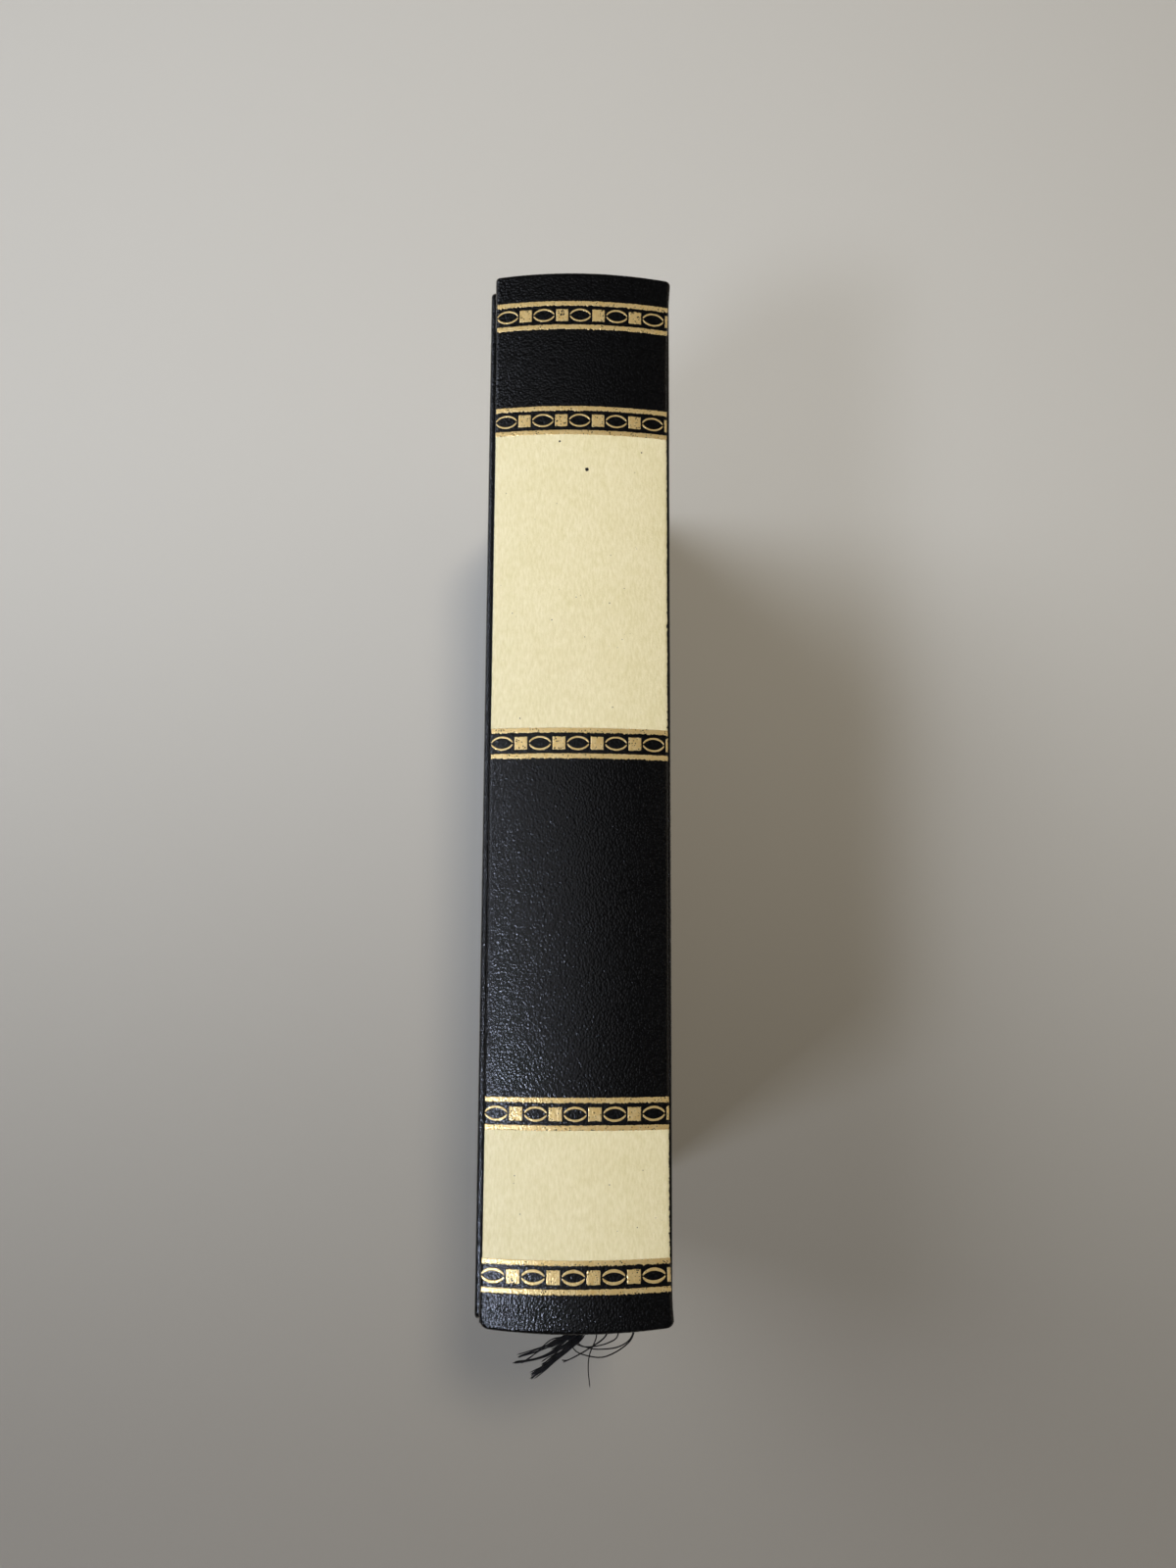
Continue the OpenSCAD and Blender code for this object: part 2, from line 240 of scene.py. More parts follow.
def creamFoil():
    # Hot-stamped pigment foil: chalky satin with faint streaks along the book and a few dark specks
    material, tree, shader, coords = newMaterial("creamPigmentFoil")
    height = leatherGrain(tree, coords)
    streaky = addNode(tree, "Mapping", {"Vector": coords, "Scale": (1, 0.3, 1)})
    streaks = addNode(tree, "TexNoise", {
        "Vector": streaky, "Scale": 1 / (0.45 * mm), "Detail": 3.0,
    })
    clouds = addNode(tree, "TexNoise", {"Vector": coords, "Scale": 1 / (7 * mm), "Detail": 2.0})
    tone = addNode(tree, "Math", {"operation": "MULTIPLY_ADD", 0: clouds, 1: 0.3, 2: streaks})
    spread = addNode(tree, "MapRange", {"Value": tone, "From Min": 0.4, "From Max": 0.9})
    cream = addNode(tree, "MixRGB", {"Fac": spread, "Color1": "#e6dfb2", "Color2": "#f7f1cf"})
    misses = foilMisses(tree, coords, 1.5, -0.06, 0.1, None)
    flat = addNode(tree, "VectorMath", {"operation": "MULTIPLY", 0: coords, 1: (1, 1, 0)})
    for x, y, radius in panelChips:
        away = addNode(tree, "VectorMath", {
            "operation": "DISTANCE", 0: flat, 1: (x * mm, y * mm, 0),
        }).outputs["Value"]
        rough = addNode(tree, "Math", {
            "operation": "MULTIPLY_ADD", 0: streaks, 1: radius * mm, 2: away,
        })
        chip = addNode(tree, "MapRange", {
            "Value": rough, "From Min": 1.4 * radius * mm, "From Max": 1.5 * radius * mm,
            "To Min": 1.0, "To Max": 0.0,
        })
        misses = addNode(tree, "Math", {"operation": "MAXIMUM", 0: misses, 1: chip})
    colour = addNode(tree, "MixRGB", {"Fac": misses, "Color1": cream, "Color2": "#15130f"})
    gloss = addNode(tree, "MapRange", {"Value": streaks, "To Min": 0.45, "To Max": 0.65})
    bump = addNode(tree, "Bump", {
        "Height": height, "Strength": 0.6, "Distance": grain["depth"] * mm,
    })
    finishShader(
        tree, shader, {"Base Color": colour, "Roughness": gloss, "Normal": bump}, {"IOR": 1.48},
    )
    return material


def cutPages():
    # Guillotined edges of book paper: fine lines along every leaf, drawn a few leaves at a time
    material, tree, shader, coords = newMaterial("cutBookPaper")
    leaves = addNode(tree, "Mapping", {
        "Vector": coords, "Scale": (1 / (0.3 * mm), 1 / (40 * mm), 1 / (40 * mm)),
    })
    lines = addNode(tree, "TexNoise", {
        "Vector": leaves, "Scale": 1.0, "Detail": 4.0, "Roughness": 0.7,
    })
    sections = addNode(tree, "Mapping", {
        "Vector": coords, "Scale": (1 / (2.2 * mm), 1 / (90 * mm), 1 / (90 * mm)),
    })
    bands = addNode(tree, "TexNoise", {"Vector": sections, "Scale": 1.0, "Detail": 1.0})
    tone = addNode(tree, "Math", {"operation": "MULTIPLY_ADD", 0: bands, 1: 0.5, 2: lines})
    spread = addNode(tree, "MapRange", {"Value": tone, "From Min": 0.45, "From Max": 1.05})
    colour = addNode(tree, "MixRGB", {"Fac": spread, "Color1": "#b8a684", "Color2": "#ebe1c8"})
    bump = addNode(tree, "Bump", {"Height": lines, "Strength": 0.6, "Distance": 0.08 * mm})
    finishShader(
        tree, shader, {"Base Color": colour, "Normal": bump}, {"Roughness": 0.9, "IOR": 1.45},
    )
    return material


def plainPaper(name, lightHex, darkHex, fibreMm):
    # Uncoated paper or board: cloudy tone and short fibres, quite matt
    material, tree, shader, coords = newMaterial(name)
    fibres = addNode(tree, "TexNoise", {
        "Vector": coords, "Scale": 1 / (fibreMm * mm), "Detail": 4.0, "Distortion": 0.6,
    })
    clouds = addNode(tree, "TexNoise", {
        "Vector": coords, "Scale": 1 / (14 * fibreMm * mm), "Detail": 2.0,
    })
    tone = addNode(tree, "Math", {"operation": "MULTIPLY_ADD", 0: clouds, 1: 0.6, 2: fibres})
    spread = addNode(tree, "MapRange", {"Value": tone, "From Min": 0.5, "From Max": 1.1})
    colour = addNode(tree, "MixRGB", {"Fac": spread, "Color1": darkHex, "Color2": lightHex})
    bump = addNode(tree, "Bump", {"Height": fibres, "Strength": 0.35, "Distance": 0.04 * mm})
    finishShader(
        tree, shader, {"Base Color": colour, "Normal": bump}, {"Roughness": 0.88, "IOR": 1.45},
    )
    return material


def wovenThread(name, lightHex, darkHex, pitchMm, sheen):
    # Woven or wound threads: a fine rib across the piece and a soft sheen on its crowns
    material, tree, shader, coords = newMaterial(name)
    ribs = addNode(tree, "TexWave", {
        "Vector": coords, "wave_type": "BANDS", "bands_direction": "DIAGONAL",
        "Scale": 1 / (20 * pitchMm * mm), "Distortion": 1.2, "Detail": 2.0,
    })
    colour = addNode(tree, "MixRGB", {"Fac": ribs, "Color1": darkHex, "Color2": lightHex})
    bump = addNode(tree, "Bump", {"Height": ribs, "Strength": 0.5, "Distance": 0.05 * mm})
    finishShader(
        tree, shader, {"Base Color": colour, "Normal": bump},
        {"Roughness": 0.7, "IOR": 1.3, "Sheen Weight": sheen, "Sheen Roughness": 0.4},
    )
    return material


leatherette = embossedLeatherette()
gilt = giltFoil()
cream = creamFoil()
pages = cutPages()
endpaper = plainPaper("uncoatedEndpaper", "#efe8d6", "#e0d6be", 0.5)
kraft = plainPaper("kraftLining", "#ad8a5c", "#8f6f46", 0.6)
greyboard = plainPaper("pressedGreyboard", "#938b7e", "#746c60", 0.9)
gauze = wovenThread("starchedGauze", "#e6e2d6", "#a8a294", 0.8, 0.15)
bandCotton = wovenThread("woundBandCotton", "#34343a", "#101013", 0.4, 0.15)
satin = wovenThread("satinRibbon", "#100f12", "#040304", 0.3, 0.05)
print("materials made")


def quads(sheet):
    # Four-sided faces between the neighbours in a sheet of point numbers
    corners = [sheet[:-1, :-1], sheet[:-1, 1:], sheet[1:, 1:], sheet[1:, :-1]]
    return np.stack(corners, axis=-1).reshape(-1, 4)


def numbered(rows, columns):
    return np.arange(rows * columns).reshape(rows, columns)


def tubeFaces(rows, count):
    # Faces of a tube of rings. An end is closed by joining one half of its ring to the other.
    sheet = numbered(rows, count)
    faces = [quads(np.concatenate([sheet, sheet[:, :1]], axis=1))]
    for ring, way in ((sheet[0], -1), (sheet[-1], 1)):
        faces.append(quads(np.stack([ring[:count // 2], ring[:count // 2 - 1:-1]]))[:, ::way])
    return np.concatenate(faces)


def joined(parts):
    # Many shapes as one: all points, and all faces with their point numbers moved on
    first = np.cumsum([0, *(len(points) for points, faces in parts)])
    faces = [faces + start for (points, faces), start in zip(parts, first)]
    return np.concatenate([points for points, _ in parts]), np.concatenate(faces)


def unit(ways):
    # Each row scaled to length one
    return ways / np.linalg.norm(ways, axis=1, keepdims=True)


def newPiece(name, points, faces, material, body, nodes, slot, smooth=True):
    mesh = bpy.data.meshes.new(name)
    mesh.from_pydata((np.asarray(points) * mm).tolist(), [], np.asarray(faces).tolist())
    mesh.validate()
    mesh.polygons.foreach_set("use_smooth", [smooth] * len(mesh.polygons))
    mesh.update()
    obj = bpy.data.objects.new(name, mesh)
    bpy.context.collection.objects.link(obj)
    obj.data.materials.append(material)
    if body:
        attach(obj, body)
    if nodes:
        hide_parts(*nodes)
    return obj


def crowded(half, reach, ends, middle):
    # Values from -half to half: a quarter cosine of them in each end's reach, even steps between
    turn = np.linspace(0, math.pi / 2, ends)
    end = half - reach * (1 - np.sin(turn))
    even = np.linspace(-(half - reach), half - reach, middle)
    return np.concatenate([-end[::-1], even[1:-1], end])


def roundedSlab(half, corners, edge, top, bottom, columns, rows):
    # A slab over a round-cornered rectangle. Every row of the plan is squeezed to the rectangle's
    # width there. The top is top(x, y) less a quarter circle's drop by the distance to the outline,
    # the bottom is bottom(x, y) plus the same, and a strip joins both along the outline.
    share = columns[None, :]
    y = np.broadcast_to(rows[:, None], (len(rows), len(columns)))
    side = (share > 0).astype(int)
    end = (y > 0).astype(int)
    radius = np.array(corners)[end, side]
    past = np.clip(np.abs(y) - (half[1] - radius), 0, radius)
    width = half[0] - radius + np.sqrt(radius ** 2 - past ** 2)
    x = share * width
    across = np.abs(x) - (half[0] - radius)
    along = np.abs(y) - (half[1] - radius)
    outside = np.hypot(np.maximum(across, 0), np.maximum(along, 0))
    depth = radius - outside - np.minimum(np.maximum(across, along), 0)
    drop = edge - np.sqrt(np.maximum(edge ** 2 - np.maximum(edge - depth, 0) ** 2, 0))
    upper = np.stack([x, y, top(x, y) - drop], axis=-1).reshape(-1, 3)
    lower = np.stack([x, y, bottom(x, y) + drop], axis=-1).reshape(-1, 3)
    points = np.concatenate([upper, lower])
    above = numbered(len(rows), len(columns))
    below = above + len(upper)
    loop = np.concatenate([above[0], above[1:, -1], above[-1, -2::-1], above[-2::-1, 0]])
    rim = quads(np.stack([loop, loop + len(upper)]))
    return points, np.concatenate([quads(above), quads(below)[:, ::-1], rim[:, ::-1]])


# Leatherette round the back card
spine = {
    "endRadius": 0.8,  # round of the covered ends and long edges
    "corners": [[2.0, 1.5], [0.9, 1.2]],  # tail left, tail right; head left, head right
    "turnIn": 12.0,  # leatherette folded under at head and tail
    "flare": [[0.2, 0.85], [0.15, 0.85]],  # its ends stand out a little, named as the corners are
    "flareReach": 8.0,
    "bow": [0.65, 0.3],  # tail and head edge bulge lengthwise by this much in the middle
    "bowReach": 5.0,
    "step": 0.4,  # length over which the underside drops from the card to the turned-in end
    "bury": 0.06,
    "across": (0.07, 9, 60),  # points, as crowded() takes them: reach, ends, middle
    "along": (2.2, 12, 160),
}


def backHeight(x, radius):
    return arcZ + np.sqrt(radius ** 2 - x ** 2)


def endFlare(x, y):
    # Outward shift near head and tail, falling off along the book by e and growing with x squared
    most = np.array(spine["flare"])[(y > 0).astype(int), (x > 0).astype(int)]
    fall = np.exp(-(caseHalf - np.abs(y)) / spine["flareReach"])
    return np.sign(x) * (x / spineHigh[0]) ** 2 * most * fall


def endBow(x, y):
    # Lengthwise shift near head and tail, falling off by e and with x squared towards the sides
    most = np.array(spine["bow"])[(y > 0).astype(int)] * np.sign(y)
    fall = np.exp(-(caseHalf - np.abs(y)) / spine["bowReach"])
    return most * (1 - (x / spineHigh[0]) ** 2) * fall


def makeSpine():
    # Its underside lies under the card at both ends, and goes just into the card between them
    inner = book["backRadius"] - 2 * book["clothT"] - book["cardT"]
    bare = inner + book["clothT"] + spine["bury"]

    def underside(x, y):
        step = np.clip((caseHalf - spine["turnIn"] - np.abs(y)) / spine["step"], 0, 1)
        return backHeight(x, inner + (bare - inner) * step)

    columns = crowded(1, *spine["across"])
    rows = crowded(caseHalf, *spine["along"])
    points, faces = roundedSlab(
        (spineHigh[0], caseHalf), spine["corners"], spine["endRadius"],
        lambda x, y: backHeight(x, book["backRadius"]), underside, columns, rows,
    )
    points[:, 0] += endFlare(points[:, 0], points[:, 1])
    points[:, 1] += endBow(points[:, 0], points[:, 1])
    newPiece(
        "spineLeather", points, faces, leatherette, "book_block", ["spine_cover"], "leatherette",
    )


# Leatherette over each board, turned in on three sides
cover = {
    "edge": 0.75,  # round of the covered board edges
    "corner": 1.3,
    "nearCorner": 1.6,  # where the joint's fold thickens the leatherette
    "turnIn": 15.0,
    "bow": 0.12,  # soft swell of the outer face
    "ridge": {1: 0.0, -1: 0.55},  # low ridge that pressing the groove left, front and back
    "ridgeFrom": 3.0,  # its middle, from the cover's near edge
    "ridgeWidth": 4.0,
    "step": 0.3,  # length over which the inside rises from the turned-in edge to the board
    "bury": 0.05,
    "across": (0.03, 8, 90),
    "along": (2.5, 10, 150),
}


def makeCover(side, name, node, body):
    low, high = boxMm(node)
    inner, outer = np.sort(np.abs([low[0], high[0]]))
    middle = (low[2] + high[2]) / 2
    half = ((high[2] - low[2]) / 2, caseHalf)
    boardX = inner + book["clothT"]

    def outside(z, y):
        # Bowed by the product of two parabolas, with a bell curve along the groove
        swell = (1 - (z / half[0]) ** 2) * (1 - (y / half[1]) ** 2)
        off = (half[0] - cover["ridgeFrom"] - z) / cover["ridgeWidth"]
        return outer - cover["bow"] * (1 - swell) + cover["ridge"][side] * np.exp(-off ** 2)

    def inside(z, y):
        far = np.minimum.reduce([
            caseHalf - cover["turnIn"] - np.abs(y),
            z + half[0] - cover["turnIn"],
            half[0] - book["clothT"] - z,
        ])
        return inner + (boardX + cover["bury"] - inner) * np.clip(far / cover["step"], 0, 1)

    corners = [[cover["corner"], cover["nearCorner"]]] * 2
    columns = crowded(1, *cover["across"])
    rows = crowded(caseHalf, *cover["along"])
    points, faces = roundedSlab(half, corners, cover["edge"], outside, inside, columns, rows)
    placed = np.stack([side * points[:, 2], points[:, 1], points[:, 0] + middle], axis=1)
    if side > 0:
        faces = faces[:, ::-1]
    newPiece(name, placed, faces, leatherette, body, [node], "leatherette")


# Endpaper pasted to the board's inner face, sinking between the turned-in edges of the leatherette
paste = {
    "sag": 1.2,  # length over which it sinks
    "start": -0.25,  # where that begins, from the end of the turned-in leatherette
    "edge": 0.03,
    "corner": 0.3,
    "across": (0.26, 22, 30),
    "along": (14, 22, 60),
}


def makePastedown(side, word):
    low, high = boxMm(word + "_pastedown")
    turnedX = coverLow[0]
    boardX = turnedX + book["clothT"]
    nearZ = coverHigh[2]
    middle = (low[2] + high[2]) / 2
    half = ((high[2] - low[2]) / 2, high[1])

    def face(z, y):
        # The paper sinks by one leatherette's thickness, as a smooth step along the turned-in edge
        far = np.minimum.reduce([
            caseHalf - cover["turnIn"] - np.abs(y),
            z + middle - cover["turnIn"],
            nearZ - book["clothT"] - z - middle,
        ])
        share = np.clip((far - paste["start"]) / paste["sag"], 0, 1)
        return -turnedX + book["paperT"] - (boardX - turnedX) * share ** 2 * (3 - 2 * share)

    columns = crowded(1, *paste["across"])
    rows = crowded(pageHalf, *paste["along"])
    points, faces = roundedSlab(
        half, [[paste["corner"]] * 2] * 2, paste["edge"], face,
        lambda z, y: face(z, y) - book["paperT"], columns, rows,
    )
    placed = np.stack([-side * points[:, 2], points[:, 1], points[:, 0] + middle], axis=1)
    if side < 0:
        faces = faces[:, ::-1]
    newPiece(
        word + "Pastedown", placed, faces, endpaper, word + "_cover", [word + "_pastedown"],
        "endpaper",
    )


def bendCorner(before, corner, after, reach):
    # Quadratic curve that rounds a corner, starting and ending a reach away from it
    before, corner, after = map(np.array, (before, corner, after))
    start = corner + (before - corner) * min(reach / np.linalg.norm(before - corner), 0.5)
    end = corner + (after - corner) * min(reach / np.linalg.norm(after - corner), 0.5)
    u = np.linspace(0, 1, joint["bendPoints"])[:, None]
    return (1 - u) ** 2 * start + 2 * u * (1 - u) * corner + u ** 2 * end


def evenPath(points, count):
    # The same path with evenly spaced points
    points = np.asarray(points, float)
    gone = np.concatenate([[0], np.cumsum(np.linalg.norm(np.diff(points, axis=0), axis=1))])
    at = np.linspace(0, gone[-1], count)
    return np.stack([np.interp(at, gone, points[:, i]) for i in range(points.shape[1])], axis=1)


def stripAlongY(profile, thickness, halfLength, rows):
    # A band of even thickness: the profile in x and z, moved out and in by half the thickness along
    # its normal, swept along y. The two lines and the rounded ends close into one ring.
    step = unit(np.gradient(profile, axis=0))
    normal = np.stack([step[:, 1], -step[:, 0]], axis=1) * thickness / 2
    ring = np.concatenate([profile + normal, (profile - normal)[::-1]])
    count = len(ring)
    y = np.linspace(-halfLength, halfLength, rows)
    points = np.stack([
        np.broadcast_to(ring[None, :, 0], (rows, count)),
        np.broadcast_to(y[:, None], (rows, count)),
        np.broadcast_to(ring[None, :, 1], (rows, count)),
    ], axis=-1).reshape(-1, 3)
    return points, tubeFaces(rows, count)


# The leatherette and the endpaper that cross each groove and bend when a cover opens
joint = {
    "reach": 0.7,  # of each rounded fold, from its corner
    "fixedZ": 145.2,  # above this the leatherette's fold follows the back's flared ends in full
    "movingZ": 143.4,  # below this it doesn't follow them
    "overlap": 0.6,  # length that lies on the cover's edge
    "short": 1.0,  # the leatherette's ends lie inside the rounded corners of the back
    "edgeIn": 0.55,  # and this far it goes up into the edge of the back
    "points": 40,
    "bendPoints": 6,
    "blendIn": 0.7,  # of the blend's line, from the edge of the back
}
leatherFold = {
    "name": "JointLeather", "node": "_joint", "material": leatherette, "slot": "leatherette",
    "thick": book["clothT"], "half": caseHalf - joint["short"], "rows": 120,
    "reach": joint["reach"], "flared": True,
}
paperFold = {
    "name": "EndpaperFold", "node": "_endpaper_fold", "material": endpaper, "slot": "endpaper",
    "thick": book["paperT"], "half": pageHalf, "rows": 60,
    "reach": 0.15, "flared": False,
}


def shoulderLines():
    # The outer page's shoulder, in x and z: its corner, its foot, the way up along it, the way out
    # of it, and the drop per length that keeps a layer's fold in line with its neighbours'
    corner = np.array([blockHigh[0], backHeight(blockHigh[0], book["blockRadius"])])
    foot = np.array([blockX, corner[1] - book["shoulderRise"]])
    along = (corner - foot) / np.linalg.norm(corner - foot)
    out = np.array([along[1], -along[0]])
    drop = (1 - along[1]) / along[0]
    return {"corner": corner, "foot": foot, "along": along, "out": out, "drop": drop}


shoulder = shoulderLines()


def makeFold(side, word, away, tip, over, end, sheet):
    # One layer across the groove, this far from the shoulder: up from the cover's edge, round the
    # shoulder's foot and over its top.
    turn = shoulder["foot"] + [away, -away * shoulder["drop"]]
    start = [blockX + away, coverHigh[2] - joint["overlap"]]
    profile = evenPath(np.concatenate([
        [start], bendCorner(start, turn, tip, joint["reach"]),
        bendCorner(turn, over, end, sheet["reach"]), [end],
    ]), joint["points"])
    points, faces = stripAlongY(profile, sheet["thick"], sheet["half"], sheet["rows"])
    points[:, 0] *= side
    if sheet["flared"]:
        # The upper part follows the back's flared ends
        blend = joint["fixedZ"] - joint["movingZ"]
        risen = np.clip((points[:, 2] - joint["movingZ"]) / blend, 0, 1)
        points[:, 0] += risen * endFlare(points[:, 0], points[:, 1])
    obj = newPiece(
        word + sheet["name"], points, faces[:, ::-side], sheet["material"], None,
        [word + sheet["node"]], sheet["slot"],
    )
    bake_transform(obj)


def makeJoint(side, word):
    inner = coverLow[0] - blockX
    away = inner + book["clothT"] / 2
    tip = shoulder["corner"] + shoulder["out"] * away + shoulder["along"] * book["paperT"]
    edge = np.array([spineHigh[0] - book["clothT"] / 2, spineLow[2] + joint["edgeIn"]])
    makeFold(side, word, away, tip, tip, edge, leatherFold)

    away = inner - book["paperT"] / 2
    tip = shoulder["corner"] + shoulder["out"] * away
    half = shoulder["along"] * book["paperT"] / 2
    makeFold(side, word, away, tip, tip + half, shoulder["corner"] + half, paperFold)


makeSpine()
for side, word in ((1, "front"), (-1, "back")):
    makeCover(side, word + "CoverLeather", word + "_cloth", word + "_cover")
    makePastedown(side, word)
    makeJoint(side, word)
print("case made")


# The pages: one block whose cut edges step in and out by a hair from leaf to leaf
block = {
    "leafPitch": 0.13,  # a few leaves to one step, as single leaves are too fine to show
    "step": 0.035,
    "drift": 0.05,  # slow wander of the cut from section to section
    "sections": 14,
    "fan": 6,  # power that keeps the bend at the back to the outer leaves
    "curl": 1.5,  # and to the top of the shoulder
    "rise": [(0, 0.9, 12), (0.93, 1, 14)],  # heights as shares, close together at the shoulder
    "between": (-0.6, -0.2, 0.2, 0.6),  # sheets of points between the two ends, as shares
    "settle": 4,  # rounds in which the bend and the height there come to agree
    "offset": 3,  # leaves by which the tail's cut differs from the head's
}


def makePages():
    # Sheets of points across the block, one per y, each with a row per leaf and a point per height.
    # Only the points on the block's surface are kept. Near the back the outer leaves bend outwards.
    count = int(round(2 * blockX / block["leafPitch"]))
    x = np.linspace(-blockX, blockX, count)
    foot = shoulder["foot"]
    rise = np.concatenate([np.linspace(*part) for part in block["rise"]])
    jitter = dice.normal(0, block["step"], count)
    sections = np.linspace(-blockX, blockX, block["sections"])
    wander = np.interp(x, sections, dice.normal(0, block["drift"], block["sections"]))
    hollow = backHeight(x, book["blockRadius"]) - backHeight(blockX, book["blockRadius"])
    foreZ = blockLow[2] + hollow + np.abs(dice.normal(0, block["step"], count))
    outwards = (np.abs(x) / blockX) ** block["fan"] * np.sign(x) * book["shoulderOut"]
    tail = -pageHalf + np.abs(np.roll(jitter, block["offset"]) - wander)
    head = pageHalf - np.abs(jitter + wander)
    between = [np.full(count, share * pageHalf) for share in block["between"]]
    sheets = []
    for y in (tail, *between, head):
        wide = x[:, None] + 0 * rise[None, :]
        for _ in range(block["settle"]):
            top = backHeight(np.clip(wide, -blockHigh[0], blockHigh[0]), book["blockRadius"])
            z = foreZ[:, None] + (top - foreZ[:, None]) * rise[None, :]
            bent = np.clip((z - foot[1]) / book["shoulderRise"], 0, 1)
            wide = x[:, None] + outwards[:, None] * bent ** block["curl"]
        sheets.append(np.stack([wide, np.broadcast_to(y[:, None], z.shape), z], axis=-1))
    points = np.stack(sheets, axis=1)
    kept = np.zeros(points.shape[:3], bool)
    kept[[0, -1]] = True
    kept[:, [0, -1]] = True
    kept[:, :, [0, -1]] = True
    number = (np.cumsum(kept) - 1).reshape(kept.shape)
    loop = np.concatenate([
        number[:, 0], number[:, 1:, -1], number[:, -1, -2::-1], number[:, -2::-1, 0],
    ], axis=1)
    faces = np.concatenate([quads(loop)[:, ::-1], quads(number[0]), quads(number[-1])[:, ::-1]])
    newPiece(
        "pageBlock", points[kept], faces, pages, "book_block", ["text_block"], "pages", smooth=False,
    )


makePages()
print("pages made")


# Stamped foil on the back
stamp = {
    "lift": 0.05,  # top of the foil over the leatherette
    "root": -0.05,  # its rim ends inside the leatherette
    "bevel": 0.07,
    "rule": 1.0,
    "rulePoints": (300, 7),
    "ovalW": 4.6,
    "ovalH": 3.0,
    "tipGap": 0.3,
    "tip": 0.08,  # thickness of a crescent's tip
    "blunt": 0.62,  # 0.5 would be an ellipse, 1 a parabola
    "lensShare": 0.94,  # width of the bare lens over that of the oval
    "crescents": [0.115, 0.115, 0.12, 0.14, 0.19],  # thickness over the oval's height, band by band
    "arcPoints": 33,
    "arcRows": [-0.12, 0.0, 0.35, 0.7, 1.0, 1.12],  # across a crescent, the first and last its rim
    "pitch": 8.07,
    "stud": 2.7,
    "studPoints": (22, 22),
    "leastStud": 0.25,  # width of a stud cut off by the band's end
    "inset": [0.15, 0.15, 0.25, 0.15, 0.0],  # left ends, band by band
    "panelInset": 0.18,
    "panelAcross": 60,
    "panelPitch": 0.2,
    "rag": 0.05,  # wander of a stamped edge
    "ragPitch": 0.16,
    "arcRag": 0.025,  # on a crescent's outer line
    "ruleRags": (0.1, 0.05, 0.05, 0.08),  # on a rule's lower edge, upper edge, left and right end
    "panelRags": (0, 0, 0.025, 0.13),  # and so on the cream fields
    "whole": 0.25,  # no misses this near the edge of a field
    "misses": {"rule": 0.75, "crescent": 0.25, "stud": 1.0},  # how freely they show
}


def ragged(length, size):
    # Uneven edge: a random step about every grain of the leatherette
    count = max(int(length / stamp["ragPitch"]), 2)
    return lambda share: np.interp(share, np.linspace(0, 1, count), dice.normal(0, size, count))


def foilPatch(x, y):
    # A thin closed pad over the plan grid x, y, laid on the round back. Its rim slopes down into
    # the leatherette, and the underside is the same grid at the rim's level.
    rows, columns = x.shape
    keep = np.pad(np.ones((rows - 2, columns - 2), bool), 1).ravel()
    lift = np.where(keep.reshape(x.shape), stamp["lift"], stamp["root"])
    upper, lower = [
        np.stack([x, y, backHeight(x, book["backRadius"] + off)], axis=-1).reshape(-1, 3)
        for off in (lift, stamp["root"])
    ]
    above = numbered(rows, columns)
    below = above.ravel().copy()
    below[keep] = rows * columns + np.arange(keep.sum())
    under = quads(below.reshape(rows, columns))[:, ::-1]
    return np.concatenate([upper, lower[keep]]), np.concatenate([quads(above), under])


def rectanglePatch(left, right, bottom, top, across, along, rags):
    # Even grid between four edges, each moved by its own ragged line. The outermost points are
    # doubled, and the outer ones moved out by the bevel for the rim.
    u = np.linspace(0, 1, across)
    v = np.linspace(0, 1, along)
    low = bottom + ragged(right - left, rags[0])(u)
    high = top + ragged(right - left, rags[1])(u)
    near = left + np.abs(ragged(top - bottom, rags[2])(v))
    far = right - np.abs(ragged(top - bottom, rags[3])(v))
    lines = (u, v, low, high, near, far)
    u, v, low, high, near, far = (np.pad(line, 1, mode="edge") for line in lines)
    x = near[:, None] + (far - near)[:, None] * u[None, :]
    y = low[None, :] + (high - low)[None, :] * v[:, None]
    x[:, 0] -= stamp["bevel"]
    x[:, -1] += stamp["bevel"]
    y[0] -= stamp["bevel"]
    y[-1] += stamp["bevel"]
    return foilPatch(x, y)


def crescentPatch(middleX, middleY, thick, way):
    # The outer line is almost half an ellipse: a blunt tip, then a power of one less share squared.
    # The inner line is an arc of a circle, a little shorter, so that it meets the base line first.
    halfW = stamp["ovalW"] / 2
    top = (stamp["ovalH"] - stamp["tipGap"]) / 2
    share = np.sin(np.linspace(-math.pi / 2, math.pi / 2, stamp["arcPoints"]))
    u = share * halfW
    fall = 1 - share ** 2
    outer = stamp["tip"] + (top - stamp["tip"]) * fall ** stamp["blunt"]
    wander = ragged(2 * halfW, stamp["arcRag"])
    outer += wander(np.linspace(0, 1, len(u))) * fall
    rise = top - thick
    reach = halfW * stamp["lensShare"]
    radius = (reach ** 2 + rise ** 2) / (2 * rise)
    inner = np.maximum(rise - radius + np.sqrt(radius ** 2 - u ** 2), 0)
    v = np.array(stamp["arcRows"])[:, None]
    y = stamp["tipGap"] / 2 + inner[None, :] + (outer - inner)[None, :] * v
    x = middleX + np.broadcast_to(u[None, :], y.shape)
    points, faces = foilPatch(x, middleY + way * y)
    return points, faces[:, ::-1] if way < 0 else faces


